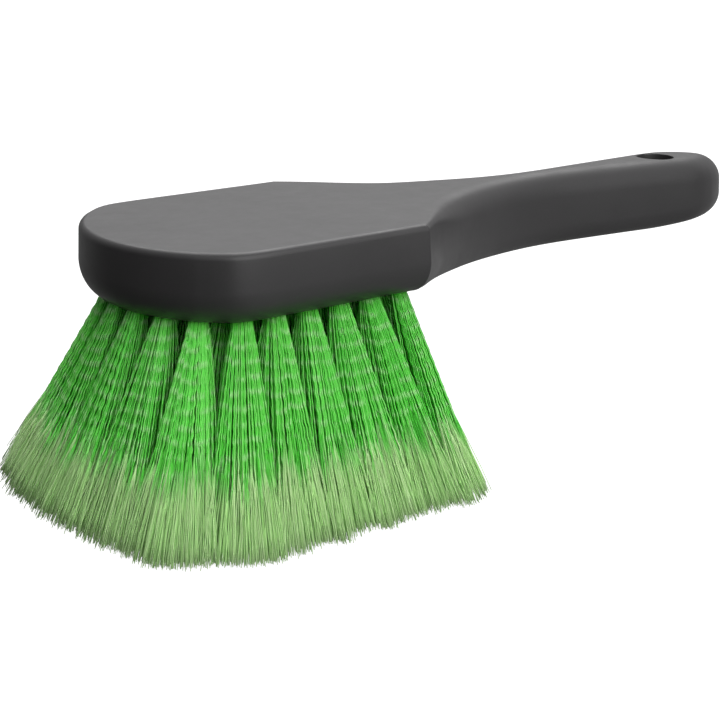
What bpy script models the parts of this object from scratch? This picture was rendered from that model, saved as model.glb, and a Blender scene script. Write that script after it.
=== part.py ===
"""Short-handled wheel brush.

One moulded plastic block carries its own handle, and a field of filament tufts is
set in blind holes in the underside of the head. Lengths are in millimetres until
the meshes are made. In the working frame the head's nose is at X = 0, the handle
runs along +X, Y is across, and the trimmed bristle tips lie on Z = 0.
"""
import math

import bmesh
import bpy

for leftover in list(bpy.data.objects):
    bpy.data.objects.remove(leftover)

MM = 0.001

# Block and handle, seen from above.
OVERALL_LENGTH = 216.0
HEAD_HALF_WIDTH = 36.2
NOSE_RADIUS = 43.4
SHOULDER_X = 73.7
NECK_RUN = 78.0
NECK_POWER = 2.3
NECK_HALF_WIDTH = 7.1
GRIP_SWELL_START = 124.0
GRIP_SWELL_POWER = 1.5
GRIP_HALF_WIDTH = 13.2
GRIP_END_RUN = 20.0

# Block and handle, seen from the side.
TRIM_LENGTH = 48.0
BLOCK_THICKNESS = 17.7
TOP_RISE = ((0.0, 0.0), (66.0, 0.0), (95.0, 0.3), (112.0, 0.5),
            (140.0, 0.5), (185.0, -0.1), (216.0, -1.5))
UNDER_RISE = ((0.0, 0.0), (71.0, 0.0), (77.0, -0.8), (85.0, -1.1),
              (130.0, -2.8), (180.0, -2.9), (216.0, -0.4))
DRAFT_ANGLE = math.radians(3.3)

# Rounded edges: head value, handle value.
TOP_EDGE = (1.7, 6.8)
UNDER_EDGE_ACROSS = (6.2, 4.9)
UNDER_EDGE_DEEP = (8.4, 5.8)
EDGE_BLEND_START = 76.0
EDGE_BLEND_END = 101.0
TOP_EDGE_STEPS = 3
UNDER_EDGE_STEPS = 4

# Points along half of the outline.
NOSE_STEPS = 12
SIDE_STEPS = 6
NECK_STEPS = 22
NECK_CROWDING = 1.35
END_STEPS = 8

# Hang hole through the end of the handle.
HANG_HOLE_X = 190.6
HANG_HOLE_RADIUS = 5.6
HANG_HOLE_SIDES = 24

# Tuft field: straight rows along the head, and an outer ring that follows the nose.
ROWS = 7
ROW_PITCH = 9.23
ROW_TUFTS = 6
OUTER_ROW_START_X = 23.3
REAR_TUFT_X = 69.9
OUTER_RING_RADIUS = 35.4
INNER_RING_RADIUS = 26.1
RING_STEP = math.radians(15.0)
RING_TUFTS = 6
HOLE_RADIUS = 3.0
HOLE_DEPTH = 12.0
HOLE_SIDES = 12
ROOT_RADIUS = 2.6
ROOT_CLEARANCE = 0.5
CUTTER_OVERRUN = 3.5
SHARP_EDGE = math.radians(35.0)

# The holes are slanted, so the tufts fan out from the block to the trimmed tips.
FLARE_START_BELOW = 0.6
FLARE_SHARES = (1.0, 0.6, 0.3, 0.12, 0.03)
FLARE_POWER_ALONG = 0.45
FLARE_POWER_ACROSS = 0.6
TIP_RADIUS_ALONG = 6.1
TIP_RADIUS_ACROSS = 8.0
FAN_ALONG = 1.404
FAN_ACROSS = 1.81
FAN_CENTRE_X = 61.0


def fan_out(x, y):
    """Where the tips of a tuft end up, from where its hole is."""
    return FAN_CENTRE_X + FAN_ALONG * (x - FAN_CENTRE_X), FAN_ACROSS * y


def ring_place(turn):
    """Hole centre on the outer ring, at an angle from the nose."""
    return NOSE_RADIUS - OUTER_RING_RADIUS * math.cos(turn), OUTER_RING_RADIUS * math.sin(turn)


# The frame's origin is under the middle of the whole brush, tips included.
BRISTLE_FRONT = fan_out(*ring_place(0.5 * RING_STEP))[0] - TIP_RADIUS_ALONG
FRAME_SHIFT = -0.5 * (OVERALL_LENGTH + BRISTLE_FRONT)


def smoothstep(low, high, value):
    t = min(1.0, max(0.0, (value - low) / (high - low)))
    return t * t * (3.0 - 2.0 * t)


def blend(pair, x):
    """Head value to handle value of an edge radius, at a place along the brush."""
    head, handle = pair
    return head + (handle - head) * smoothstep(EDGE_BLEND_START, EDGE_BLEND_END, x)


def monotone_curve(knots, x):
    """Smooth curve through the knots that never overshoots between them."""
    slopes = [(b[1] - a[1]) / (b[0] - a[0]) for a, b in zip(knots, knots[1:])]
    tangents = [slopes[0]]
    for before, after in zip(slopes, slopes[1:]):
        product = before * after
        tangents.append(2.0 * product / (before + after) if product > 0.0 else 0.0)
    tangents.append(slopes[-1])
    last = len(knots) - 2
    index = min(last, max(0, sum(1 for knot in knots[1:] if x > knot[0])))
    (x0, y0), (x1, y1) = knots[index], knots[index + 1]
    span = x1 - x0
    t = min(1.0, max(0.0, (x - x0) / span))
    rise = (y1 - y0) * t * t * (3.0 - 2.0 * t)
    start = tangents[index] * span * t * (1.0 - t) ** 2
    end = tangents[index + 1] * span * t * t * (t - 1.0)
    return y0 + rise + start + end


def top_height(x):
    return TRIM_LENGTH + BLOCK_THICKNESS + monotone_curve(TOP_RISE, x)


def under_height(x):
    return TRIM_LENGTH + monotone_curve(UNDER_RISE, x)


def half_width(x):
    """Half the width behind the shoulder: concave neck, then the swelling grip."""
    run = min(1.0, (x - SHOULDER_X) / NECK_RUN)
    neck = NECK_HALF_WIDTH + (HEAD_HALF_WIDTH - NECK_HALF_WIDTH) * (1.0 - run) ** NECK_POWER
    grip_end = OVERALL_LENGTH - GRIP_END_RUN
    swell = max(0.0, (x - GRIP_SWELL_START) / (grip_end - GRIP_SWELL_START)) ** GRIP_SWELL_POWER
    return neck + (GRIP_HALF_WIDTH - NECK_HALF_WIDTH) * swell


def plan_outline():
    """Half of the outline seen from above, from the nose to the end of the handle."""
    points = []
    nose_angle = math.asin(HEAD_HALF_WIDTH / NOSE_RADIUS)
    for step in range(NOSE_STEPS):
        angle = nose_angle * step / NOSE_STEPS
        points.append((NOSE_RADIUS * (1.0 - math.cos(angle)), NOSE_RADIUS * math.sin(angle)))
    side_start = NOSE_RADIUS * (1.0 - math.cos(nose_angle))
    for step in range(SIDE_STEPS):
        points.append((side_start + (SHOULDER_X - side_start) * step / SIDE_STEPS, HEAD_HALF_WIDTH))
    grip_end = OVERALL_LENGTH - GRIP_END_RUN
    for step in range(NECK_STEPS):
        x = SHOULDER_X + (grip_end - SHOULDER_X) * (step / NECK_STEPS) ** NECK_CROWDING
        points.append((x, half_width(x)))
    for step in range(END_STEPS):
        angle = 0.5 * math.pi * step / END_STEPS
        points.append((grip_end + GRIP_END_RUN * math.sin(angle), GRIP_HALF_WIDTH * math.cos(angle)))
    points.append((OVERALL_LENGTH, 0.0))
    return points


def inward_normals(points):
    """Direction into the brush at each outline point, long enough to keep a corner's inset even."""
    normals = []
    for index in range(1, len(points) - 1):
        edges = []
        for start, end in (points[index - 1:index + 1], points[index:index + 2]):
            size = math.dist(start, end)
            edges.append(((end[1] - start[1]) / size, (start[0] - end[0]) / size))
        middle = (edges[0][0] + edges[1][0], edges[0][1] + edges[1][1])
        scale = 2.0 / (middle[0] ** 2 + middle[1] ** 2)
        normals.append((middle[0] * scale, middle[1] * scale))
    return [(1.0, 0.0), *normals, (-1.0, 0.0)]


def edge_levels(x):
    """Inset and height of each ring of the moulded edge, from the top face down."""
    top, under = top_height(x), under_height(x)
    top_edge = blend(TOP_EDGE, x)
    across, deep = blend(UNDER_EDGE_ACROSS, x), blend(UNDER_EDGE_DEEP, x)
    levels = []
    for step in range(TOP_EDGE_STEPS + 1):
        angle = 0.5 * math.pi * step / TOP_EDGE_STEPS
        height = top - top_edge * (1.0 - math.cos(angle))
        draft = math.tan(DRAFT_ANGLE) * max(0.0, height - under - deep)
        levels.append((top_edge * (1.0 - math.sin(angle)) + draft, height))
    for step in range(UNDER_EDGE_STEPS + 1):
        angle = 0.5 * math.pi * step / UNDER_EDGE_STEPS
        levels.append((across * (1.0 - math.cos(angle)), under + deep * (1.0 - math.sin(angle))))
    return levels


def to_frame(x, y, z):
    return ((x + FRAME_SHIFT) * MM, y * MM, z * MM)


def block_mesh():
    """Rings of the moulded edge round the outline, closed by a top and an under face."""
    mesh = bmesh.new()
    outline = plan_outline()
    normals = inward_normals(outline)
    last = len(outline) - 1
    rings = [[] for _ in edge_levels(0.0)]
    for side in (1, -1):
        order = range(last + 1) if side == 1 else range(last - 1, 0, -1)
        for index in order:
            (x, y), (nx, ny) = outline[index], normals[index]
            for ring, (inset, height) in zip(rings, edge_levels(x)):
                place = to_frame(x + nx * inset, side * (y + ny * inset), height)
                ring.append(mesh.verts.new(place))
    count = len(rings[0])
    for upper, lower in zip(rings, rings[1:]):
        for index in range(count):
            after = (index + 1) % count
            mesh.faces.new((upper[index], lower[index], lower[after], upper[after]))
    for ring, faces_up in ((rings[0], True), (rings[-1], False)):
        for index in range(last):
            far_side = (ring[(count - index - 1) % count], ring[(count - index) % count])
            corners = list(dict.fromkeys((ring[index], ring[index + 1], *far_side)))
            mesh.faces.new(corners if faces_up else corners[::-1])
    bmesh.ops.recalc_face_normals(mesh, faces=mesh.faces)
    return mesh


def tuft_places():
    """Name and hole centre of every tuft: the nose ring, then the rows, nose end first."""
    places = []
    for number in range(RING_TUFTS):
        turn = (number - 0.5 * (RING_TUFTS - 1)) * RING_STEP
        places.append((f"tuft_nose_{number + 1}", *ring_place(turn)))
    for row in range(ROWS):
        y = (row - ROWS // 2) * ROW_PITCH
        start = OUTER_ROW_START_X
        if 0 < row < ROWS - 1:
            start = NOSE_RADIUS - math.sqrt(INNER_RING_RADIUS ** 2 - y ** 2)
        for number in range(ROW_TUFTS):
            x = start + (REAR_TUFT_X - start) * number / (ROW_TUFTS - 1)
            places.append((f"tuft_row{row + 1}_{number + 1}", x, y))
    return places


def centre_at(x, y, z):
    """A tuft's axis is the straight line from its tips through its hole."""
    tip_x, tip_y = fan_out(x, y)
    share = z / TRIM_LENGTH
    return tip_x + (x - tip_x) * share, tip_y + (y - tip_y) * share


def slanted_solid(mesh, x, y, sections):
    """Closed loft along a tuft's axis; each section is a height and two radii."""
    rings = []
    for z, along, across in sections:
        cx, cy = centre_at(x, y, z)
        ring = []
        for side in range(HOLE_SIDES):
            angle = 2.0 * math.pi * side / HOLE_SIDES
            place = to_frame(cx + along * math.cos(angle), cy + across * math.sin(angle), z)
            ring.append(mesh.verts.new(place))
        rings.append(ring)
    for lower, upper in zip(rings, rings[1:]):
        for side in range(HOLE_SIDES):
            after = (side + 1) % HOLE_SIDES
            mesh.faces.new((lower[side], lower[after], upper[after], upper[side]))
    mesh.faces.new(rings[0][::-1])
    mesh.faces.new(rings[-1])


def tuft_sections():
    """From the trimmed tips up to the folded root at the bottom of the hole."""
    flare_top = TRIM_LENGTH - FLARE_START_BELOW
    sections = []
    for share in FLARE_SHARES:
        along = ROOT_RADIUS + (TIP_RADIUS_ALONG - ROOT_RADIUS) * share ** FLARE_POWER_ALONG
        across = ROOT_RADIUS + (TIP_RADIUS_ACROSS - ROOT_RADIUS) * share ** FLARE_POWER_ACROSS
        sections.append((flare_top * (1.0 - share), along, across))
    sections.append((flare_top, ROOT_RADIUS, ROOT_RADIUS))
    sections.append((TRIM_LENGTH + HOLE_DEPTH - ROOT_CLEARANCE, ROOT_RADIUS, ROOT_RADIUS))
    return sections


def upright_plug(mesh, x, radius, sides, low, high):
    """Closed upright prism on the brush's middle plane."""
    rings = []
    for z in (low, high):
        ring = []
        for side in range(sides):
            angle = 2.0 * math.pi * side / sides
            place = to_frame(x + radius * math.cos(angle), radius * math.sin(angle), z)
            ring.append(mesh.verts.new(place))
        rings.append(ring)
    for side in range(sides):
        after = (side + 1) % sides
        mesh.faces.new((rings[0][side], rings[0][after], rings[1][after], rings[1][side]))
    mesh.faces.new(rings[0][::-1])
    mesh.faces.new(rings[1])


def cutter_mesh():
    """All the tuft holes and the hang hole, as separate closed plugs."""
    mesh = bmesh.new()
    mouth = TRIM_LENGTH - CUTTER_OVERRUN
    bottom = TRIM_LENGTH + HOLE_DEPTH
    for _, x, y in tuft_places():
        slanted_solid(mesh, x, y, ((mouth, HOLE_RADIUS, HOLE_RADIUS), (bottom, HOLE_RADIUS, HOLE_RADIUS)))
    above = TRIM_LENGTH + BLOCK_THICKNESS + CUTTER_OVERRUN
    below = TRIM_LENGTH - 2.0 * CUTTER_OVERRUN
    upright_plug(mesh, HANG_HOLE_X, HANG_HOLE_RADIUS, HANG_HOLE_SIDES, below, above)
    return mesh


def make_material(name, colour, roughness):
    material = bpy.data.materials.new(name)
    material.use_nodes = True
    shader = material.node_tree.nodes["Principled BSDF"]
    shader.inputs["Base Color"].default_value = (*colour, 1.0)
    shader.inputs["Roughness"].default_value = roughness
    shader.inputs["Metallic"].default_value = 0.0
    return material


def add_object(name, mesh, material=None):
    data = bpy.data.meshes.new(name)
    mesh.to_mesh(data)
    mesh.free()
    item = bpy.data.objects.new(name, data)
    bpy.context.scene.collection.objects.link(item)
    if material is not None:
        data.materials.append(material)
        data.shade_smooth()
        data.set_sharp_from_angle(angle=SHARP_EDGE)
    return item


def build_block():
    plastic = make_material("charcoal_plastic", (0.075, 0.073, 0.076), 0.42)
    block = add_object("block_with_handle", block_mesh(), plastic)
    holes = add_object("hole_cutter", cutter_mesh())
    holes.hide_render = True
    holes.display_type = "WIRE"
    cut = block.modifiers.new("holes", "BOOLEAN")
    cut.operation = "DIFFERENCE"
    cut.solver = "EXACT"
    cut.object = holes


def build_tufts():
    filament = make_material("green_filament", (0.09, 0.45, 0.05), 0.5)
    for name, x, y in tuft_places():
        mesh = bmesh.new()
        slanted_solid(mesh, x, y, tuft_sections())
        add_object(name, mesh, filament)


build_block()
build_tufts()
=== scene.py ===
"""Looks of the short-handled wheel brush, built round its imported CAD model.

The moulded block is drawn again at a fine pitch, from its own dimensions. Each tuft
becomes a bundle of folded, crimped filaments in the space that its CAD solid holds,
with the flat wire anchor that keeps its fold at the bottom of its hole.
Shapes are worked out in millimetres in the row frame, and meshes are made in metres.
"""
import math

import bmesh
import bpy
import numpy as np
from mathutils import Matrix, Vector


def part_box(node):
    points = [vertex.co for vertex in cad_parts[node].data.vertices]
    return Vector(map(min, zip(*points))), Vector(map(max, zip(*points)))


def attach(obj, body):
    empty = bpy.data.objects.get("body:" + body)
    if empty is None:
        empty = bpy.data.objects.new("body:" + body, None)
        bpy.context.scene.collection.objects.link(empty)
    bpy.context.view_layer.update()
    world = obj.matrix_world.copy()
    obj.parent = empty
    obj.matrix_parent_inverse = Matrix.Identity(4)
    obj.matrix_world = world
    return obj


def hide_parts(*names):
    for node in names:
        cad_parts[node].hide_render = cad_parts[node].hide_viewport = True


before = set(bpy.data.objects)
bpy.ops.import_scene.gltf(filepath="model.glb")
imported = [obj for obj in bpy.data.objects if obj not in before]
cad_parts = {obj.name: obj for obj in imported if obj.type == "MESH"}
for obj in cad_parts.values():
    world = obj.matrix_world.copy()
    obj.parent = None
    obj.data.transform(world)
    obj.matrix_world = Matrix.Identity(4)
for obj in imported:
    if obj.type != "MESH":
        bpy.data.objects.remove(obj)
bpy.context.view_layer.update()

MM = 0.001
BODY = "root"
BLOCK = "block_with_handle"
TUFTS = sorted(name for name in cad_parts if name.startswith("tuft_"))

# Points of a tuft's CAD solid that are at one height, within this, make one ring.
RING_TOLERANCE = 0.15

# The block's place and main sizes come from its CAD box; the underside carries the tufts.
BLOCK_LOW, BLOCK_HIGH = [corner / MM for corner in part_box(BLOCK)]
NOSE_X = BLOCK_LOW.x
OVERALL_LENGTH = BLOCK_HIGH.x - BLOCK_LOW.x
BLOCK_THICKNESS = 17.7
TOP_HIGHEST = 0.5
UNDER_Z = BLOCK_HIGH.z - TOP_HIGHEST - BLOCK_THICKNESS

# Outline seen from above, measured from the nose.
HEAD_HALF_WIDTH = 36.2
NOSE_RADIUS = 43.4
SHOULDER_X = 73.7
NECK_RUN = 78.0
NECK_POWER = 2.3
NECK_HALF_WIDTH = 7.1
GRIP_SWELL_START = 124.0
GRIP_SWELL_POWER = 1.5
GRIP_HALF_WIDTH = 13.2
GRIP_END_RUN = 20.0

# Seen from the side: rise of the top and of the underside along the brush.
TOP_RISE = ((0.0, 0.0), (66.0, 0.0), (95.0, 0.3), (112.0, 0.5),
            (140.0, 0.5), (185.0, -0.1), (216.0, -1.5))
UNDER_RISE = ((0.0, 0.0), (71.0, 0.0), (77.0, -0.8), (85.0, -1.1),
              (130.0, -2.8), (180.0, -2.9), (216.0, -0.4))
DRAFT = math.tan(math.radians(3.3))

# Rounded edges: head value, handle value.
TOP_EDGE = (1.7, 6.8)
UNDER_EDGE_ACROSS = (6.2, 4.9)
UNDER_EDGE_DEEP = (8.4, 5.8)
EDGE_BLEND_START = 76.0
EDGE_BLEND_END = 101.0

# Points of the fine mesh: along each stretch of the outline, and round each edge.
# A crowding above 1 draws the nose's points towards the nose corner, and the neck's towards
# the shoulder.
NOSE_STEPS = 56
SIDE_STEPS = 44
NECK_STEPS = 130
END_STEPS = 36
TOP_EDGE_STEPS = 10
UNDER_EDGE_STEPS = 14
NOSE_CROWDING = 1.2
NECK_CROWDING = 1.6
CAP_COLUMNS = (0.985, 0.93, 0.8, 0.55, 0.25, 0.0, -0.25, -0.55, -0.8, -0.93, -0.985)

# The inset shoulder is found by halving a stretch of the neck again and again.
SHOULDER_SEARCH = 30.0
SHOULDER_HALVINGS = 40

# Worn corners of the outline: points that move on each side of the corner, and smoothing passes.
NOSE_CORNER_WEAR = (18, 120)
SHOULDER_WEAR = (3, 2)
GRIP_END_WEAR = (8, 14)

# Hang hole with a flared lip at both ends.
HANG_HOLE_X = 190.6
HANG_HOLE_RADIUS = 5.6
HANG_HOLE_LIP = 0.5
HANG_HOLE_SIDES = 64
LIP_START = 20.0
LIP_STEPS = 6

# Blind holes for the tufts, with a small taper at the bottom.
HOLE_RADIUS = 3.0
HOLE_CLEARANCE = 0.5
HOLE_SIDES = 24
HOLE_TAPER_HIGH = 0.6
HOLE_TAPER_IN = 0.5

# How far the cutters of both kinds of hole start outside the plastic.
HOLE_OVERRUN = 3.0
HANG_HOLE_OVERRUN = 4.0
HANG_HOLE_OVERWIDTH = 5.0

# Edges that are sharper than this, in degrees, aren't shaded smooth.
BLOCK_SHARP_ANGLE = 32.0

# Trimmed face: the filament ends lie in rows, and reach a little past the rims of the CAD tips.
# They splay further at one corner of the nose, and less far at the other one.
# Mixing is how freely an end goes to a tuft that isn't quite the nearest one.
TIP_SEED = 5
TIP_SPACING = 1.26
TIP_JITTER = 0.32
TIP_MARGIN = 1.3
CORNER_MARGINS = {"tuft_nose_1": 5.0, "tuft_nose_6": -3.0}
TIP_RIM_SIDES = 24
TIP_REAR_TRIM = 0.6
TIP_CORNER_RADIUS = 13.0
TUFT_MIXING = 0.4

# Course of a leg. A share of its length is 0 at the block and 1 at the trimmed tips.
ROOT_FILL = 0.92
ROOT_ROUNDNESS = 3
SPREAD_ALONG = 2.4
SPREAD_ACROSS = 1.9
STRAIGHT_RIM = 9.0
CLUMPS = 11
CLUMP_JITTER = 0.07
CLUMP_PULL = 0.03
CLUMP_GATHERS = (0.05, 0.45)
CLUMP_OPENS = (0.6, 0.9)
SWAY = 0.14
SWAY_WAVES = (0.6, 1.3)

# Crimp: one direction and one phase for a tuft, from which clumps and legs differ a little.
CRIMP_WAVE = 3.1
CRIMP_STEPS = 3
CRIMP_DEPTH = 0.15
CRIMP_DEPTH_RANGE = (0.7, 1.25)
CRIMP_BEGINS = (0.0, 0.1)
CRIMP_TURN_OF_TUFT = 0.5
CRIMP_TURN_OF_LEG = 0.4
CRIMP_PHASE_OF_CLUMP = 0.5
CRIMP_PHASE_OF_LEG = 0.3

# Thickness of a leg, which swells down its length, and its fold over the anchor, told in
# degrees of the turn.
FILAMENT_SIDES = 3
FILAMENT_RADIUS = 0.2
FILAMENT_SWELL = 0.35
SWELL_BETWEEN = (0.1, 0.5)
LEG_END_SHARE = 0.6
LEG_TOP_IN_HOLE = 1.0
FOLD_TURNS = (0.0, 25.0, 60.0, 90.0, 120.0, 155.0, 180.0)
FOLD_LOW_IN_HOLE = 4.0
FOLD_CLEARANCE = 0.25
FOLD_RISE = 0.5

# Flagged end of a leg: finer strands, which part below the split.
SPLIT_HEIGHT = (12.0, 24.0)
STRANDS = 8
STRAND_POINTS = 5
STRAND_RADIUS = 0.115
STRAND_TAPER = 0.25
STRAND_OVERLAP = 0.8
STRAND_SPREAD = (0.4, 2.2)
STRAND_FLARE = 0.75
STRAND_TURN_JITTER = 0.5
TRIM_HEIGHT = (0.05, 1.1)
TRIM_RAGGED = 0.06
UV_BELOW_ROOT = 0.3

# Anchors: flat wire, standing on edge across the fold, a little longer than the hole is wide.
ANCHOR_BELOW_ROOT = 3.4
ANCHOR_LENGTH = 6.6
ANCHOR_WIDTH = 1.9
ANCHOR_THICKNESS = 0.4
ANCHOR_STEPS = 10
ANCHOR_DIP = 0.25
ANCHOR_SECTION = ((1, 0.8), (1, -0.8), (0.6, -1), (-0.6, -1),
                  (-1, -0.8), (-1, 0.8), (-0.6, 1), (0.6, 1))
ANCHOR_SHARP_ANGLE = 25.0

# Colours, linear.
PLASTIC_DARK = (0.031, 0.030, 0.031)
PLASTIC_LIGHT = (0.040, 0.0385, 0.040)
PLASTIC_SPECK = (0.05, 0.048, 0.05, 1.0)
GREEN_DARK = (0.12, 0.80, 0.065)
GREEN_MIDDLE = (0.155, 0.86, 0.085)
GREEN_LIGHT = (0.23, 0.91, 0.14)
# Painted highlight: crimp crests are lightened towards this colour in place of the light's glints
# on the crimps.
PAINTED_CREST_GLINT = (0.54, 0.97, 0.42, 1.0)
TIP_DARK = (0.60, 0.97, 0.39)
TIP_LIGHT = (0.70, 0.99, 0.49)
WIRE_DARK = (0.42, 0.30, 0.13)
WIRE_LIGHT = (0.62, 0.47, 0.22)
WIRE_BRIGHT = (0.75, 0.62, 0.36, 1.0)
FLOOR_DARK = (0.30, 0.30, 0.30)
FLOOR_LIGHT = (0.32, 0.32, 0.32)
BLACK = (0.0, 0.0, 0.0)
WHITE = (1.0, 1.0, 1.0)

# Studio. Azimuth 0 is on the -Y side and 90 on the +X side, both in degrees.
# The camera's place is in millimetres like the shapes; floor and softboxes are in metres.
CAMERA_AZIMUTH = -36.2
CAMERA_ELEVATION = 17.66
CAMERA_TARGET = Vector((-19.306, 0.061, 19.546))
CAMERA_DISTANCE = 424.65
CAMERA_LENS = 76.2
SENSOR_WIDTH = 36.0
CAMERA_CLIP = (0.01, 20.0)
FLOOR_RADIUS = 8.0
FLOOR_SIDES = 96
FLOOR_GLOW = 0.92
SOFTBOX_TARGET = Vector((0.0, 0.0, 0.03))
SOFTBOX_DISTANCE = 1.4

# Softboxes: name, azimuth and elevation in degrees, side in metres, watts.
SOFTBOXES = (("front", 0.0, 30.0, 1.5, 14.0),
             ("fill", -30.0, 45.0, 1.5, 1.8),
             ("back_low", 144.0, 35.0, 1.0, 2.2),
             ("back_high", 144.0, 60.0, 1.2, 11.5))

# World light: direction, the cosines between which its glow rises, and its strength.
# The first glow is the same from all sides.
WORLD_GLOWS = (((0.0, 0.0, 1.0), -3.0, -2.0, 0.045),
               ((0.59, 0.81, 0.25), 0.1, 0.75, 0.21),
               ((0.81, -0.59, 0.0), -0.2, 0.9, 0.30),
               ((0.0, 0.0, 1.0), 0.2, 0.9, 0.34))


def smoothstep(low, high, value):
    """Soft step from 0 at low to 1 at high."""
    t = np.clip((value - low) / (high - low), 0.0, 1.0)
    return t * t * (3.0 - 2.0 * t)


# ---------------------------------------------------------------- block with handle


def monotone_curve(knots, x):
    """Smooth curve through the knots that never overshoots between them."""
    slopes = [(b[1] - a[1]) / (b[0] - a[0]) for a, b in zip(knots, knots[1:])]
    tangents = [slopes[0]]
    for before, after in zip(slopes, slopes[1:]):
        product = before * after
        tangents.append(2.0 * product / (before + after) if product > 0.0 else 0.0)
    tangents.append(slopes[-1])
    last = len(knots) - 2
    index = min(last, max(0, sum(1 for knot in knots[1:] if x > knot[0])))
    (x0, y0), (x1, y1) = knots[index], knots[index + 1]
    span = x1 - x0
    t = min(1.0, max(0.0, (x - x0) / span))
    rise = (y1 - y0) * t * t * (3.0 - 2.0 * t)
    start = tangents[index] * span * t * (1.0 - t) ** 2
    end = tangents[index + 1] * span * t * t * (t - 1.0)
    return y0 + rise + start + end


def top_height(x):
    return UNDER_Z + BLOCK_THICKNESS + monotone_curve(TOP_RISE, x)


def under_height(x):
    return UNDER_Z + monotone_curve(UNDER_RISE, x)


def blend(pair, x):
    """An edge size at x, from its head value and its handle value."""
    head, handle = pair
    return head + (handle - head) * smoothstep(EDGE_BLEND_START, EDGE_BLEND_END, x)


def half_width(x):
    """Half the width behind the shoulder: concave neck, then the swelling grip."""
    run = min(1.0, (x - SHOULDER_X) / NECK_RUN)
    neck = NECK_HALF_WIDTH + (HEAD_HALF_WIDTH - NECK_HALF_WIDTH) * (1.0 - run) ** NECK_POWER
    grip_end = OVERALL_LENGTH - GRIP_END_RUN
    swell = max(0.0, (x - GRIP_SWELL_START) / (grip_end - GRIP_SWELL_START)) ** GRIP_SWELL_POWER
    return neck + (GRIP_HALF_WIDTH - NECK_HALF_WIDTH) * swell


def inset_neck(x, inset):
    """The neck's outline point at x, moved into the brush by the inset."""
    step = 0.01
    slope = (half_width(x + step) - half_width(x - step)) / (2.0 * step)
    size = math.hypot(1.0, slope)
    return x + slope * inset / size, half_width(x) - inset / size


def shoulder_station(inset_at, half):
    """Where the neck has to start for its inset outline to meet the inset straight side."""
    low, high = SHOULDER_X, SHOULDER_X + SHOULDER_SEARCH
    for _ in range(SHOULDER_HALVINGS):
        middle = 0.5 * (low + high)
        if inset_neck(middle, inset_at(middle))[1] > half:
            low = middle
        else:
            high = middle
    return low


def grip_end_outline(inset):
    """Quarter of an ellipse round the end of the grip, moved inwards, down to the middle plane."""
    grip_end = OVERALL_LENGTH - GRIP_END_RUN
    points = []
    for step in range(END_STEPS + 1):
        angle = 0.5 * math.pi * step / END_STEPS
        run, half = GRIP_END_RUN * math.sin(angle), GRIP_HALF_WIDTH * math.cos(angle)
        nx, ny = run / GRIP_END_RUN ** 2, half / GRIP_HALF_WIDTH ** 2
        size = math.hypot(nx, ny)
        points.append((grip_end + run - inset * nx / size, half - inset * ny / size))
    points[-1] = (points[-1][0], 0.0)
    return points


def inset_outline(inset_at):
    """Half of the outline, nose to handle end, moved inwards; corners meet without overlap."""
    inset = inset_at(0.0)
    radius, half = NOSE_RADIUS - inset, HEAD_HALF_WIDTH - inset
    nose_angle = math.asin(half / radius)
    points = []
    for step in range(NOSE_STEPS):
        angle = nose_angle * (1.0 - (1.0 - step / NOSE_STEPS) ** NOSE_CROWDING)
        points.append((NOSE_RADIUS - radius * math.cos(angle), radius * math.sin(angle)))
    side_start = NOSE_RADIUS - radius * math.cos(nose_angle)
    shoulder = shoulder_station(inset_at, half)
    side_end = inset_neck(shoulder, inset_at(shoulder))[0]
    for step in range(SIDE_STEPS):
        share = 0.5 - 0.5 * math.cos(math.pi * step / SIDE_STEPS)
        points.append((side_start + (side_end - side_start) * share, half))
    grip_end = OVERALL_LENGTH - GRIP_END_RUN
    for step in range(NECK_STEPS):
        x = shoulder + (grip_end - shoulder) * (step / NECK_STEPS) ** NECK_CROWDING
        points.append(inset_neck(x, inset_at(x)))
    return points + grip_end_outline(inset_at(OVERALL_LENGTH))


def eased(points, corner, reach, passes):
    """The same points with the corner worn round: each pass draws them to their neighbours."""
    line = np.array(points)
    low, high = corner - reach, corner + reach + 1
    for _ in range(passes):
        before, after = line[low - 1:high - 1], line[low + 1:high + 1]
        line[low:high] = 0.25 * before + 0.5 * line[low:high] + 0.25 * after
    return line


def edge_levels():
    """Inset and height, as functions of x, of each ring of the moulded edge from the top down."""
    levels = []
    for step in range(TOP_EDGE_STEPS + 1):
        angle = 0.5 * math.pi * step / TOP_EDGE_STEPS

        def height(x, angle=angle):
            return top_height(x) - blend(TOP_EDGE, x) * (1.0 - math.cos(angle))

        def inset(x, angle=angle, height=height):
            wall = height(x) - under_height(x) - blend(UNDER_EDGE_DEEP, x)
            return blend(TOP_EDGE, x) * (1.0 - math.sin(angle)) + DRAFT * max(0.0, wall)

        levels.append((inset, height))
    for step in range(UNDER_EDGE_STEPS + 1):
        angle = 0.5 * math.pi * step / UNDER_EDGE_STEPS

        def height(x, angle=angle):
            return under_height(x) + blend(UNDER_EDGE_DEEP, x) * (1.0 - math.sin(angle))

        def inset(x, angle=angle):
            return blend(UNDER_EDGE_ACROSS, x) * (1.0 - math.cos(angle))

        levels.append((inset, height))
    return levels


def block_ring(mesh, inset, height):
    """One closed ring of vertices: the +Y half from the nose, then the -Y half back."""
    half = inset_outline(inset)
    half = eased(half, NOSE_STEPS, *NOSE_CORNER_WEAR)
    half = eased(half, NOSE_STEPS + SIDE_STEPS, *SHOULDER_WEAR)
    half = eased(half, NOSE_STEPS + SIDE_STEPS + NECK_STEPS, *GRIP_END_WEAR)
    places = [(x, y) for x, y in half]
    places += [(x, -y) for x, y in half[-2:0:-1]]
    return [mesh.verts.new(((NOSE_X + x) * MM, y * MM, height(x) * MM)) for x, y in places]


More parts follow.
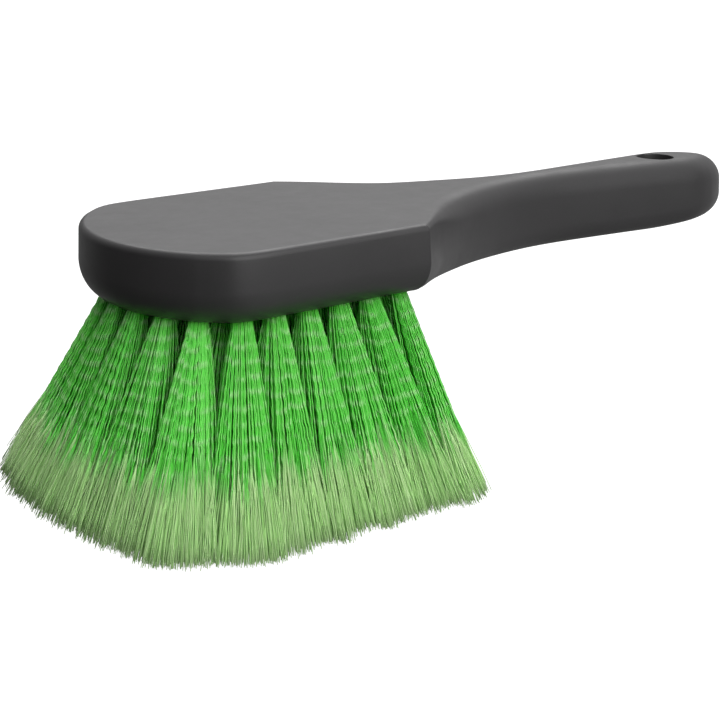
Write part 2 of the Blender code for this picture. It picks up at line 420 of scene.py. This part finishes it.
def close_cap(mesh, ring, facing_up):
    """Fills a ring with a grid; its outer columns are narrow, so that the flat face shades flat."""
    count = len(ring)
    last = count // 2
    lines = []
    for index in range(last + 1):
        near, far = ring[index], ring[(count - index) % count]
        if near == far:
            lines.append([near])
            continue
        middle = 0.5 * (near.co + far.co)
        reach = 0.5 * (near.co - far.co)
        inner = [mesh.verts.new(middle + reach * column) for column in CAP_COLUMNS]
        lines.append([near, *inner, far])
    for line, after in zip(lines, lines[1:]):
        for column in range(len(CAP_COLUMNS) + 1):
            corners = [line[min(column, len(line) - 1)], line[min(column + 1, len(line) - 1)],
                       after[min(column + 1, len(after) - 1)], after[min(column, len(after) - 1)]]
            corners = list(dict.fromkeys(corners))
            mesh.faces.new(corners[::-1] if facing_up else corners)


def fine_block():
    mesh = bmesh.new()
    rings = [block_ring(mesh, inset, height) for inset, height in edge_levels()]
    count = len(rings[0])
    for upper, lower in zip(rings, rings[1:]):
        for index in range(count):
            after = (index + 1) % count
            mesh.faces.new((upper[index], lower[index], lower[after], upper[after]))
    close_cap(mesh, rings[0], True)
    close_cap(mesh, rings[-1], False)
    bmesh.ops.recalc_face_normals(mesh, faces=mesh.faces)
    return mesh


def lathe(mesh, sections, sides):
    """Closed solid from horizontal rings; a section is a centre x and y, a height and a radius."""
    rings = []
    for cx, cy, z, radius in sections:
        ring = []
        for side in range(sides):
            angle = 2.0 * math.pi * side / sides
            place = (cx + radius * math.cos(angle), cy + radius * math.sin(angle), z)
            ring.append(mesh.verts.new(Vector(place) * MM))
        rings.append(ring)
    for lower, upper in zip(rings, rings[1:]):
        for side in range(sides):
            after = (side + 1) % sides
            mesh.faces.new((lower[side], lower[after], upper[after], upper[side]))
    mesh.faces.new(rings[0][::-1])
    mesh.faces.new(rings[-1])


def tuft_plug(rings):
    """Sections of the slanted hole that holds a tuft."""
    bottom = rings[-1][0] + HOLE_CLEARANCE
    sections = []
    for z in (UNDER_Z - HOLE_OVERRUN, bottom - HOLE_TAPER_HIGH, bottom):
        cx, cy = axis_at(rings, z)
        sections.append((cx, cy, z, HOLE_RADIUS if z < bottom else HOLE_RADIUS - HOLE_TAPER_IN))
    return sections


def hang_spool():
    """Sections of the hang hole: straight in the middle, with a quarter-round flare at each end."""
    sections = []
    ends = ((under_height(HANG_HOLE_X), 1.0), (top_height(HANG_HOLE_X), -1.0))
    for end, into in ends:
        lip = [(end - into * HANG_HOLE_OVERRUN, HANG_HOLE_LIP + HANG_HOLE_OVERWIDTH)]
        for step in range(LIP_STEPS + 1):
            angle = math.radians(LIP_START + (90.0 - LIP_START) * step / LIP_STEPS)
            depth = HANG_HOLE_LIP * (1.0 - math.cos(angle))
            lip.append((end + into * depth, HANG_HOLE_LIP * (1.0 - math.sin(angle))))
        lip.sort()
        sections += [(NOSE_X + HANG_HOLE_X, 0.0, z, HANG_HOLE_RADIUS + flare) for z, flare in lip]
    return sections


def hole_cutter(tufts):
    """Everything that is cut out of the block: the 48 tuft holes and the hang hole."""
    mesh = bmesh.new()
    for rings in tufts.values():
        lathe(mesh, tuft_plug(rings), HOLE_SIDES)
    lathe(mesh, hang_spool(), HANG_HOLE_SIDES)
    return mesh


# ---------------------------------------------------------------- tufts and anchors


def cad_rings(node):
    """Height, centre and half-sizes of each ring of a tuft's CAD solid, from the tips up."""
    points = np.array([v.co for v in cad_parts[node].data.vertices]) / MM
    heights = np.unique(points[:, 2].round(1))
    rings = []
    for z in heights:
        ring = points[np.abs(points[:, 2] - z) < RING_TOLERANCE]
        low, high = ring.min(0), ring.max(0)
        centre, size = 0.5 * (low + high), 0.5 * (high - low)
        rings.append((ring[:, 2].mean(), *centre[:2], *size[:2]))
    return np.array(rings)


def axis_at(rings, z):
    """A tuft's axis is one straight line, from its tips to its root."""
    tip, root = rings[0], rings[-1]
    share = (z - tip[0]) / (root[0] - tip[0])
    return tip[1] + (root[1] - tip[1]) * share, tip[2] + (root[2] - tip[2]) * share


def convex_hull(points):
    """Corners of the hull round the points, in turn."""
    points = sorted(map(tuple, points))
    hull = []
    for line in (points, points[::-1]):
        side = []
        for point in line:
            while len(side) > 1:
                (ax, ay), (bx, by) = side[-2:]
                if (bx - ax) * (point[1] - ay) - (by - ay) * (point[0] - ax) > 0.0:
                    break
                side.pop()
            side.append(point)
        hull += side[:-1]
    return np.array(hull)


def trimmed_face(tufts):
    """Corners of the face that the filament ends fill: the hull round all the CAD tips."""
    turn = np.linspace(0.0, 2.0 * math.pi, TIP_RIM_SIDES, endpoint=False)
    rims = []
    for name, rings in tufts.items():
        centre, size = rings[0, 1:3], rings[0, 3:5]
        size = size + CORNER_MARGINS.get(name, TIP_MARGIN)
        rims.append(centre + size * np.stack([np.cos(turn), np.sin(turn)], 1))
    return convex_hull(np.concatenate(rims))


def depth_inside(points, hull):
    """How far each point is inside the trimmed face, whose two rear corners are rounded."""
    edge = np.roll(hull, -1, 0) - hull
    edge = edge / np.linalg.norm(edge, axis=1, keepdims=True)
    reach = points[:, None] - hull[None]
    inside = (edge[:, 0] * reach[..., 1] - edge[:, 1] * reach[..., 0]).min(1)
    high = hull.max(0)
    corner = np.array([high[0] - TIP_REAR_TRIM, high[1]]) - TIP_CORNER_RADIUS
    beyond = np.maximum(np.stack([points[:, 0], np.abs(points[:, 1])], 1) - corner, 0.0)
    return np.minimum(inside, TIP_CORNER_RADIUS - np.linalg.norm(beyond, axis=1))


def tip_field(tufts):
    """Filament ends, spread evenly over the whole trimmed face and shared out to the tufts.

    Each end is its x, its y and how far it is inside the rim of the face.
    """
    rng = np.random.default_rng(TIP_SEED)
    hull = trimmed_face(tufts)
    low, high = hull.min(0), hull.max(0)
    points = []
    for row, y in enumerate(np.arange(low[1], high[1], TIP_SPACING * math.sqrt(0.75))):
        start = low[0] + 0.5 * TIP_SPACING * (row % 2)
        x = np.arange(start, high[0] - TIP_REAR_TRIM, TIP_SPACING)
        points.append(np.stack([x, np.full_like(x, y)], 1))
    points = np.concatenate(points)
    points = points + rng.uniform(-TIP_JITTER, TIP_JITTER, points.shape) * TIP_SPACING
    inside = depth_inside(points, hull)
    points, inside = points[inside > 0.0], inside[inside > 0.0]
    centres = np.array([r[0, 1:3] for r in tufts.values()])
    sizes = np.array([r[0, 3:5] for r in tufts.values()])
    away = (((points[:, None] - centres[None]) / sizes[None]) ** 2).sum(2)
    mixing = rng.uniform(1.0 - TUFT_MIXING, 1.0 + TUFT_MIXING, away.shape)
    nearest = np.argmin(away * mixing, axis=1)
    ends = np.concatenate([points, inside[:, None]], 1)
    return {name: ends[nearest == number] for number, name in enumerate(tufts)}


def disc_points(count):
    """Evenly spread points over a unit disc."""
    index = np.arange(count) + 0.5
    radius = np.sqrt(index / count)
    angle = index * math.pi * (3.0 - math.sqrt(5.0))
    return np.stack([radius * np.cos(angle), radius * np.sin(angle)], 1)


def tubes(lines, radii):
    """Vertices, side faces and end faces of tubes round many lines at once."""
    sides = FILAMENT_SIDES
    count, length = lines.shape[:2]
    tangent = np.gradient(lines, axis=1)
    tangent /= np.linalg.norm(tangent, axis=2, keepdims=True)
    first = np.array([1.0, 0.0, 0.0]) - tangent * tangent[..., :1]
    first /= np.linalg.norm(first, axis=2, keepdims=True)
    second = np.cross(tangent, first)
    angle = 2.0 * math.pi * np.arange(sides) / sides
    ring = first[:, :, None] * np.cos(angle)[:, None] + second[:, :, None] * np.sin(angle)[:, None]
    verts = lines[:, :, None] + ring * radii[:, :, None, None]
    index = np.arange(count * length * sides).reshape(count, length, sides)
    turned = np.roll(index, -1, axis=2)
    quads = np.stack([index[:, :-1], turned[:, :-1], turned[:, 1:], index[:, 1:]], -1)
    ends = np.concatenate([index[:, 0, ::-1], index[:, -1]])
    return verts.reshape(-1, 3), quads.reshape(-1, 4), ends


def tube_data(name, verts, quads, ends):
    """Blender mesh from the vertices, side faces and end faces of the tubes."""
    data = bpy.data.meshes.new(name)
    data.vertices.add(len(verts))
    data.vertices.foreach_set("co", (verts * MM).astype(np.float32).ravel())
    data.loops.add(quads.size + ends.size)
    corners = np.concatenate([quads.ravel(), ends.ravel()])
    data.loops.foreach_set("vertex_index", corners.astype(np.int32))
    data.polygons.add(len(quads) + len(ends))
    end_starts = quads.size + np.arange(len(ends)) * FILAMENT_SIDES
    starts = np.concatenate([np.arange(len(quads)) * 4, end_starts])
    data.polygons.foreach_set("loop_start", starts.astype(np.int32))
    data.update(calc_edges=True)
    return data


class Tuft:
    """One bundle of folded filaments: a fold has two legs, and a leg ends in finer strands."""

    def __init__(self, rings, tips, seed):
        self.rng = rng = np.random.default_rng(seed)
        self.rings = rings
        tips = tips[:len(tips) // 2 * 2]
        inside = tips[:, 2]
        tips = tips[:, :2] - rings[0, 1:3]
        self.legs = len(tips)
        self.roots = self.packed_roots(tips / rings[0, 3:5]) * ROOT_FILL * rings[-1, 3]
        order = self.paired_order()
        self.roots, self.tips = self.roots[order], tips[order]
        self.fullness = smoothstep(0.0, STRAIGHT_RIM, inside[order])[:, None, None]
        centres = disc_points(CLUMPS) + rng.normal(0.0, CLUMP_JITTER, (CLUMPS, 2))
        centres = centres * rings[0, 3:5]
        clump = np.argmin(((self.tips[:, None] - centres[None]) ** 2).sum(2), axis=1)
        self.clump_centre = centres[clump]
        outward = math.atan2(rings[0, 2] - rings[-1, 2], rings[0, 1] - rings[-1, 1])
        self.crimp_turn = (outward + rng.normal(0.0, CRIMP_TURN_OF_TUFT)
                           + rng.normal(0.0, CRIMP_TURN_OF_LEG, self.legs))
        self.crimp_phase = (rng.uniform(0.0, 2.0 * math.pi)
                            + rng.normal(0.0, CRIMP_PHASE_OF_CLUMP, CLUMPS)[clump]
                            + rng.normal(0.0, CRIMP_PHASE_OF_LEG, self.legs))
        self.crimp_depth = CRIMP_DEPTH * rng.uniform(*CRIMP_DEPTH_RANGE, self.legs)
        self.sway = rng.normal(0.0, SWAY, (len(SWAY_WAVES), self.legs, 2))
        self.sway_phase = rng.uniform(0.0, 2.0 * math.pi, (len(SWAY_WAVES), self.legs, 2))
        self.tip_z = (rng.uniform(*TRIM_HEIGHT, CLUMPS)[clump]
                      + np.abs(rng.normal(0.0, TRIM_RAGGED, self.legs)))
        self.split_z = rng.uniform(*SPLIT_HEIGHT, self.legs)
        self.shade = rng.uniform(0.0, 1.0, self.legs)

    def packed_roots(self, tips):
        """The legs' places in the round hole: the order of the tips, outer ones outside."""
        size = (np.abs(tips) ** ROOT_ROUNDNESS).sum(1)
        rank = np.argsort(np.argsort(size))
        radius = np.sqrt((rank + 0.5) / len(tips))
        angle = np.arctan2(tips[:, 1], tips[:, 0])
        return np.stack([radius * np.cos(angle), radius * np.sin(angle)], 1)

    def paired_order(self):
        """First the legs on one side of the anchor, then their partners on the other side."""
        by_side = np.argsort(-self.roots[:, 1])
        near, far = np.split(by_side, 2)
        near = near[np.argsort(self.roots[near, 0])]
        far = far[np.argsort(self.roots[far, 0])]
        return np.concatenate([near, far])

    def place(self, z):
        """Where every leg is at its own heights z, an array of (leg, point)."""
        share = np.clip(1.0 - z / UNDER_Z, 0.0, 1.0)[..., None]
        power = 1.0 + self.fullness * (np.array([SPREAD_ALONG, SPREAD_ACROSS]) - 1.0)
        spread = 1.0 - (1.0 - share) ** power
        pull = CLUMP_PULL * smoothstep(*CLUMP_GATHERS, share)
        pull = pull * (1.0 - smoothstep(*CLUMP_OPENS, share))
        tips = self.tips[:, None] + (self.clump_centre - self.tips)[:, None] * pull
        where = self.roots[:, None] * (1.0 - spread) + tips * spread
        where = where + np.stack(axis_at(self.rings, z), -1)
        depth = self.crimp_depth[:, None] * smoothstep(*CRIMP_BEGINS, share[..., 0])
        bend = depth * self.crest(z)
        turn = self.crimp_turn[:, None]
        where = where + np.stack([bend * np.cos(turn), bend * np.sin(turn)], -1)
        for waves, size, phase in zip(SWAY_WAVES, self.sway, self.sway_phase):
            wave = np.sin(2.0 * math.pi * waves * share + phase[:, None])
            where = where + size[:, None] * share * wave
        return np.concatenate([where, z[..., None]], -1)

    def crest(self, z):
        """How far along its crimp each leg is: 1 on a crest and -1 in a trough."""
        return np.sin(2.0 * math.pi * z / CRIMP_WAVE + self.crimp_phase[:, None])

    def arches(self):
        """Lines from the root of each near leg, over the anchor, to the root of its far leg."""
        first, last = np.split(self.roots, 2)
        crown = FOLD_CLEARANCE + FOLD_RISE * np.abs(first - last)[:, 1]
        low = np.full(len(first), UNDER_Z + FOLD_LOW_IN_HOLE)
        anchor_z = self.rings[-1, 0] - ANCHOR_BELOW_ROOT
        stations = [(first, low)]
        for turn in FOLD_TURNS:
            bend = math.radians(turn)
            across = first + (last - first) * (0.5 - 0.5 * math.cos(bend))
            stations.append((across, anchor_z + crown * math.sin(bend)))
        stations.append((last, low))
        points = []
        for across, z in stations:
            place = across + np.stack(axis_at(self.rings, z), -1)
            points.append(np.concatenate([place, z[:, None]], 1))
        return np.stack(points, 1)

    def folds(self):
        """Lines of the folded filaments: up one leg, over the anchor and down the other."""
        start = UNDER_Z + LEG_TOP_IN_HOLE
        points = int((start - SPLIT_HEIGHT[0]) / CRIMP_WAVE * CRIMP_STEPS) + 1
        z = start + (self.split_z[:, None] - start) * np.linspace(0.0, 1.0, points)
        near, far = np.split(self.place(z), 2)
        arch = self.arches()
        line = np.concatenate([near[:, ::-1], arch, far], 1)
        swell = smoothstep(*SWELL_BETWEEN, 1.0 - line[..., 2] / UNDER_Z)
        radius = FILAMENT_RADIUS * (1.0 + FILAMENT_SWELL * swell)
        radius[:, 0] = radius[:, -1] = LEG_END_SHARE * FILAMENT_RADIUS
        leg = np.arange(self.legs).reshape(2, -1, 1)
        leg = np.where(np.linspace(0.0, 1.0, line.shape[1]) > 0.5, leg[1], leg[0])
        near_crest, far_crest = np.split(self.crest(z), 2)
        crest = np.concatenate([near_crest[:, ::-1], np.zeros(arch.shape[:2]), far_crest], 1)
        return line, radius, leg, crest

    def strands(self):
        """Lines of the finer strands that each leg is split into, which spread apart."""
        share = np.linspace(0.0, 1.0, STRAND_POINTS)
        first_turn = self.rng.uniform(0.0, 2.0 * math.pi, self.legs)
        start = self.split_z + STRAND_OVERLAP
        lines, crests = [], []
        for strand in range(STRANDS):
            end = self.tip_z + np.abs(self.rng.normal(0.0, TRIM_RAGGED, self.legs))
            z = start[:, None] + (end - start)[:, None] * share
            line = self.place(z)
            spread = self.rng.uniform(*STRAND_SPREAD, self.legs)[:, None] * share ** STRAND_FLARE
            turn = (first_turn + 2.0 * math.pi * strand / STRANDS
                    + self.rng.normal(0.0, STRAND_TURN_JITTER, self.legs))
            line[..., 0] += spread * np.cos(turn)[:, None]
            line[..., 1] += spread * np.sin(turn)[:, None]
            lines.append(line)
            crests.append(self.crest(z) * (1.0 - share))
        line = np.concatenate(lines)
        radius = STRAND_RADIUS * (1.0 - STRAND_TAPER * share) * np.ones(line.shape[:2])
        leg = np.tile(np.arange(self.legs), STRANDS)[:, None] * np.ones(line.shape[:2], int)
        return line, radius, leg, np.concatenate(crests)

    def mesh(self, name):
        """The tuft's mesh, with what the material needs kept on its points and in its UV map."""
        verts, quads, ends, legs, crests, turns = [], [], [], [], [], []
        offset = 0
        for line, radius, leg, crest in (self.folds(), self.strands()):
            v, q, e = tubes(line, radius)
            verts.append(v)
            quads.append(q + offset)
            ends.append(e + offset)
            legs.append(np.repeat(leg.ravel(), FILAMENT_SIDES))
            crests.append(np.repeat(crest.ravel(), FILAMENT_SIDES))
            turns.append(np.tile(np.arange(FILAMENT_SIDES), leg.size))
            offset += len(v)
        verts, quads, ends, legs, crests, turns = map(
            np.concatenate, (verts, quads, ends, legs, crests, turns))
        data = tube_data(name, verts, quads, ends)
        along = 1.0 - verts[:, 2] / UNDER_Z
        # The crest attribute holds each point's crimp phase, which the filament material turns into
        # a painted highlight.
        for attribute, values in (("shade", self.shade[legs]), ("along", along), ("crest", crests)):
            layer = data.attributes.new(attribute, "FLOAT", "POINT")
            layer.data.foreach_set("value", values.astype(np.float32))
        corners = np.concatenate([quads.ravel(), ends.ravel()])
        turn = turns[corners].astype(float)
        quad_turn = turn[:quads.size].reshape(-1, 4)
        quad_turn[:, 1:3] = quad_turn[:, :1] + 1.0
        across = (legs[corners] + turn / FILAMENT_SIDES) / self.legs
        down = (along[corners] + UV_BELOW_ROOT) / (1.0 + UV_BELOW_ROOT)
        uv = data.uv_layers.new(name="OFBake")
        uv.data.foreach_set("uv", np.stack([across, down], 1).astype(np.float32).ravel())
        data.shade_smooth()
        return data


def anchor_mesh(name, rings):
    """Short flat wire across the fold, with its ends bent a little by being driven in."""
    mesh = bmesh.new()
    z = rings[-1, 0] - ANCHOR_BELOW_ROOT
    middle = Vector((*axis_at(rings, z), z))
    stations = []
    for step in range(ANCHOR_STEPS + 1):
        share = 2.0 * step / ANCHOR_STEPS - 1.0
        dip = ANCHOR_DIP * abs(share) ** 3
        station = []
        for across, up in ANCHOR_SECTION:
            corner = Vector((0.5 * ANCHOR_LENGTH * share, 0.5 * ANCHOR_THICKNESS * across,
                             0.5 * ANCHOR_WIDTH * up - dip))
            station.append(mesh.verts.new((middle + corner) * MM))
        stations.append(station)
    for before, after in zip(stations, stations[1:]):
        for side in range(len(before)):
            turn = (side + 1) % len(before)
            mesh.faces.new((before[side], before[turn], after[turn], after[side]))
    mesh.faces.new(stations[0][::-1])
    mesh.faces.new(stations[-1])
    bmesh.ops.recalc_face_normals(mesh, faces=mesh.faces)
    return mesh_data(name, mesh)


# ---------------------------------------------------------------- materials


class Nodes:
    """Short calls for building one material's node tree."""

    def __init__(self, name):
        self.material = bpy.data.materials.new(name)
        self.material.use_nodes = True
        self.tree = self.material.node_tree
        self.shader = self.tree.nodes["Principled BSDF"]

    def add(self, kind, inputs=None, **settings):
        node = self.tree.nodes.new("ShaderNode" + kind)
        for key, value in settings.items():
            setattr(node, key, value)
        for key, value in (inputs or {}).items():
            self.feed(node.inputs[key], value)
        return node

    def feed(self, socket, value):
        if isinstance(value, bpy.types.NodeSocket):
            self.tree.links.new(value, socket)
        else:
            socket.default_value = value

    def attribute(self, name):
        return self.add("Attribute", attribute_name=name).outputs["Fac"]

    def calculated(self, operation, first, second):
        return self.add("Math", {0: first, 1: second}, operation=operation).outputs[0]

    def ramp(self, value, stops):
        node = self.add("ValToRGB", {"Fac": value})
        node.color_ramp.interpolation = "EASE"
        while len(node.color_ramp.elements) < len(stops):
            node.color_ramp.elements.new(0.5)
        for element, (position, colour) in zip(node.color_ramp.elements, stops):
            element.position = position
            element.color = (*colour, 1.0)
        return node.outputs["Color"]

    def noise(self, coordinates, size, detail=2.0, roughness=0.5):
        """Noise whose largest spots are about the given size in millimetres."""
        node = self.add("TexNoise", {"Vector": coordinates, "Scale": 1.0 / (size * MM),
                                     "Detail": detail, "Roughness": roughness})
        return node.outputs["Fac"]

    def span(self, value, low, high, from_low=0.0, from_high=1.0):
        node = self.add("MapRange", {"Value": value, "From Min": from_low, "From Max": from_high,
                                     "To Min": low, "To Max": high})
        return node.outputs["Result"]

    def mixed(self, share, first, second):
        """Mix of two colours; sockets 6 and 7 of the node are its colour inputs."""
        node = self.add("Mix", {0: share, 6: first, 7: second}, data_type="RGBA")
        return node.outputs[2]

    def bump(self, height, strength, distance, normal=None):
        inputs = {"Height": height, "Strength": strength, "Distance": distance * MM}
        if normal is not None:
            inputs["Normal"] = normal
        return self.add("Bump", inputs).outputs["Normal"]


def plastic_material():
    """Satin charcoal moulding: uneven tone, fine specks, a pebbled skin and patchy gloss."""
    n = Nodes("charcoal_plastic")
    place = n.add("TexCoord").outputs["Object"]
    cloud = n.noise(place, 38.0, 3.0)
    speck = n.noise(place, 0.55, 2.0)
    tone = n.ramp(cloud, ((0.3, PLASTIC_DARK), (0.7, PLASTIC_LIGHT)))
    n.feed(n.shader.inputs["Base Color"], n.mixed(n.span(speck, 0.0, 0.5), tone, PLASTIC_SPECK))
    rough = n.span(n.noise(place, 11.0, 4.0, 0.6), 0.36, 0.46, 0.3, 0.7)
    n.feed(n.shader.inputs["Roughness"], rough)
    skin = n.bump(n.noise(place, 0.5, 2.0), 0.12, 0.02)
    swell = n.bump(n.noise(place, 16.0, 1.0), 0.5, 0.12, skin)
    n.feed(n.shader.inputs["Normal"], swell)
    return n.material


def filament_material():
    """Green filament: painted crimp highlights, paler split tips, and no two filaments alike."""
    n = Nodes("green_filament")
    along = n.attribute("along")
    shade = n.attribute("shade")
    crest = n.attribute("crest")
    place = n.add("TexCoord").outputs["Object"]
    green = n.ramp(shade, ((0.0, GREEN_DARK), (0.5, GREEN_MIDDLE), (1.0, GREEN_LIGHT)))
    # Painted highlight: the crimp crests, in noisy patches, are mixed towards a pale glint colour.
    patch = n.span(n.noise(place, 3.0, 1.0), 0.0, 1.0, 0.38, 0.58)
    light = n.calculated("MULTIPLY", n.span(crest, 0.0, 0.8, -0.1, 1.0), patch)
    green = n.mixed(light, green, PAINTED_CREST_GLINT)
    pale = n.ramp(shade, ((0.0, TIP_DARK), (1.0, TIP_LIGHT)))
    reach = n.calculated("ADD", along, n.span(shade, -0.07, 0.07))
    tip = n.ramp(reach, ((0.58, BLACK), (0.74, WHITE)))
    n.feed(n.shader.inputs["Base Color"], n.mixed(tip, green, pale))
    n.feed(n.shader.inputs["Roughness"], n.span(tip, 0.38, 0.65))
    n.feed(n.shader.inputs["Normal"], n.bump(n.noise(place, 0.8, 1.0), 0.2, 0.05))
    return n.material


def wire_material():
    """Drawn brass-coated wire: long scratches, spots of tarnish and an uneven polish."""
    n = Nodes("anchor_wire")
    place = n.add("TexCoord").outputs["Object"]
    drawn = n.add("Mapping", {"Vector": place, "Scale": (0.06, 1.0, 1.0)}).outputs["Vector"]
    scratch = n.noise(drawn, 0.08, 3.0)
    tone = n.ramp(n.noise(place, 1.4, 3.0), ((0.35, WIRE_DARK), (0.65, WIRE_LIGHT)))
    n.feed(n.shader.inputs["Base Color"], n.mixed(n.span(scratch, 0.0, 0.4), tone, WIRE_BRIGHT))
    n.shader.inputs["Metallic"].default_value = 1.0
    n.feed(n.shader.inputs["Roughness"], n.span(scratch, 0.22, 0.5))
    n.feed(n.shader.inputs["Normal"], n.bump(scratch, 0.4, 0.01))
    return n.material


def floor_material():
    """Plain pale paper that gives off the white of the studio."""
    n = Nodes("floor_paper")
    place = n.add("TexCoord").outputs["Object"]
    tone = n.ramp(n.noise(place, 60.0), ((0.3, FLOOR_DARK), (0.7, FLOOR_LIGHT)))
    n.feed(n.shader.inputs["Base Color"], tone)
    n.shader.inputs["Roughness"].default_value = 0.9
    n.shader.inputs["Specular IOR Level"].default_value = 0.0
    n.shader.inputs["Emission Color"].default_value = (*WHITE, 1.0)
    n.shader.inputs["Emission Strength"].default_value = FLOOR_GLOW
    return n.material


# ---------------------------------------------------------------- pieces


def mesh_data(name, mesh):
    data = bpy.data.meshes.new(name)
    mesh.to_mesh(data)
    mesh.free()
    return data


def add_object(name, data):
    item = bpy.data.objects.new(name, data)
    bpy.context.scene.collection.objects.link(item)
    return item


def add_piece(name, data, material, replaced=None):
    piece = add_object(name, data)
    data.materials.append(material)
    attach(piece, BODY)
    if replaced:
        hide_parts(replaced)


def build_block(tufts, material):
    block = add_object("moulded_block", mesh_data("moulded_block", fine_block()))
    holes = add_object("holes", mesh_data("holes", hole_cutter(tufts)))
    cut = block.modifiers.new("holes", "BOOLEAN")
    cut.operation = "DIFFERENCE"
    cut.solver = "EXACT"
    cut.object = holes
    bpy.context.view_layer.update()
    graph = bpy.context.evaluated_depsgraph_get()
    data = bpy.data.meshes.new_from_object(block.evaluated_get(graph))
    bpy.data.objects.remove(holes)
    bpy.data.objects.remove(block)
    data.name = "moulded_block"
    data.shade_smooth()
    data.set_sharp_from_angle(angle=math.radians(BLOCK_SHARP_ANGLE))
    add_piece("moulded_block", data, material, BLOCK)


def build_tufts(tufts, material):
    ends = tip_field(tufts)
    for number, (name, rings) in enumerate(tufts.items()):
        piece = "filaments_" + name.removeprefix("tuft_")
        data = Tuft(rings, ends[name], number).mesh(piece)
        add_piece(piece, data, material, name)


def build_anchors(tufts, material):
    for name, rings in tufts.items():
        piece = "anchor_" + name.removeprefix("tuft_")
        data = anchor_mesh(piece, rings)
        data.shade_smooth()
        data.set_sharp_from_angle(angle=math.radians(ANCHOR_SHARP_ANGLE))
        add_piece(piece, data, material)


# ---------------------------------------------------------------- studio


def back_vector(azimuth, elevation):
    """Unit vector from the brush towards a camera or light; angles in degrees."""
    a, e = math.radians(azimuth), math.radians(elevation)
    return Vector((math.sin(a) * math.cos(e), -math.cos(a) * math.cos(e), math.sin(e)))


def aim(item, place, back):
    """Puts a camera or light at its place, looking back at the brush."""
    item.location = place
    item.rotation_euler = back.to_track_quat("Z", "Y").to_euler()


def add_camera():
    data = bpy.data.cameras.new("camera")
    data.lens = CAMERA_LENS
    data.sensor_width = SENSOR_WIDTH
    data.clip_start, data.clip_end = CAMERA_CLIP
    camera = add_object("camera", data)
    back = back_vector(CAMERA_AZIMUTH, CAMERA_ELEVATION)
    aim(camera, (CAMERA_TARGET + back * CAMERA_DISTANCE) * MM, back)
    bpy.context.scene.camera = camera


def add_floor():
    """A wide pale sheet that only the camera sees; the world's light has what it throws back."""
    mesh = bmesh.new()
    bmesh.ops.create_circle(mesh, cap_ends=True, segments=FLOOR_SIDES, radius=FLOOR_RADIUS)
    floor = add_object("floor", mesh_data("floor", mesh))
    floor.data.materials.append(floor_material())
    floor.visible_diffuse = False
    floor.visible_glossy = False
    floor.visible_transmission = False


def add_softbox(name, azimuth, elevation, side, watts):
    data = bpy.data.lights.new(name, "AREA")
    data.shape = "SQUARE"
    data.size = side
    data.energy = watts
    back = back_vector(azimuth, elevation)
    aim(add_object(name, data), SOFTBOX_TARGET + back * SOFTBOX_DISTANCE, back)


def add_world():
    """Soft light: strong behind and above the brush, fair to the right and weak to the left."""
    world = bpy.data.worlds.new("studio")
    bpy.context.scene.world = world
    world.use_nodes = True
    tree = world.node_tree
    direction = tree.nodes.new("ShaderNodeTexCoord").outputs["Generated"]

    def glow(towards, start, end, strength):
        dot = tree.nodes.new("ShaderNodeVectorMath")
        dot.operation = "DOT_PRODUCT"
        tree.links.new(direction, dot.inputs[0])
        dot.inputs[1].default_value = Vector(towards).normalized()
        span = tree.nodes.new("ShaderNodeMapRange")
        span.interpolation_type = "SMOOTHSTEP"
        tree.links.new(dot.outputs["Value"], span.inputs["Value"])
        span.inputs["From Min"].default_value = start
        span.inputs["From Max"].default_value = end
        span.inputs["To Max"].default_value = strength
        return span.outputs["Result"]

    total = None
    for part in WORLD_GLOWS:
        value = glow(*part)
        if total is not None:
            add = tree.nodes.new("ShaderNodeMath")
            tree.links.new(total, add.inputs[0])
            tree.links.new(value, add.inputs[1])
            value = add.outputs[0]
        total = value
    seen = tree.nodes.new("ShaderNodeLightPath").outputs["Is Camera Ray"]
    pick = tree.nodes.new("ShaderNodeMix")
    tree.links.new(seen, pick.inputs[0])
    tree.links.new(total, pick.inputs[2])
    pick.inputs[3].default_value = 1.0
    backdrop = tree.nodes["Background"]
    backdrop.inputs["Color"].default_value = (*WHITE, 1.0)
    tree.links.new(pick.outputs[0], backdrop.inputs["Strength"])


tufts = {name: cad_rings(name) for name in TUFTS}
build_block(tufts, plastic_material())
build_tufts(tufts, filament_material())
build_anchors(tufts, wire_material())
add_camera()
add_floor()
for softbox in SOFTBOXES:
    add_softbox(*softbox)
add_world()
bpy.context.scene.view_settings.view_transform = "Standard"
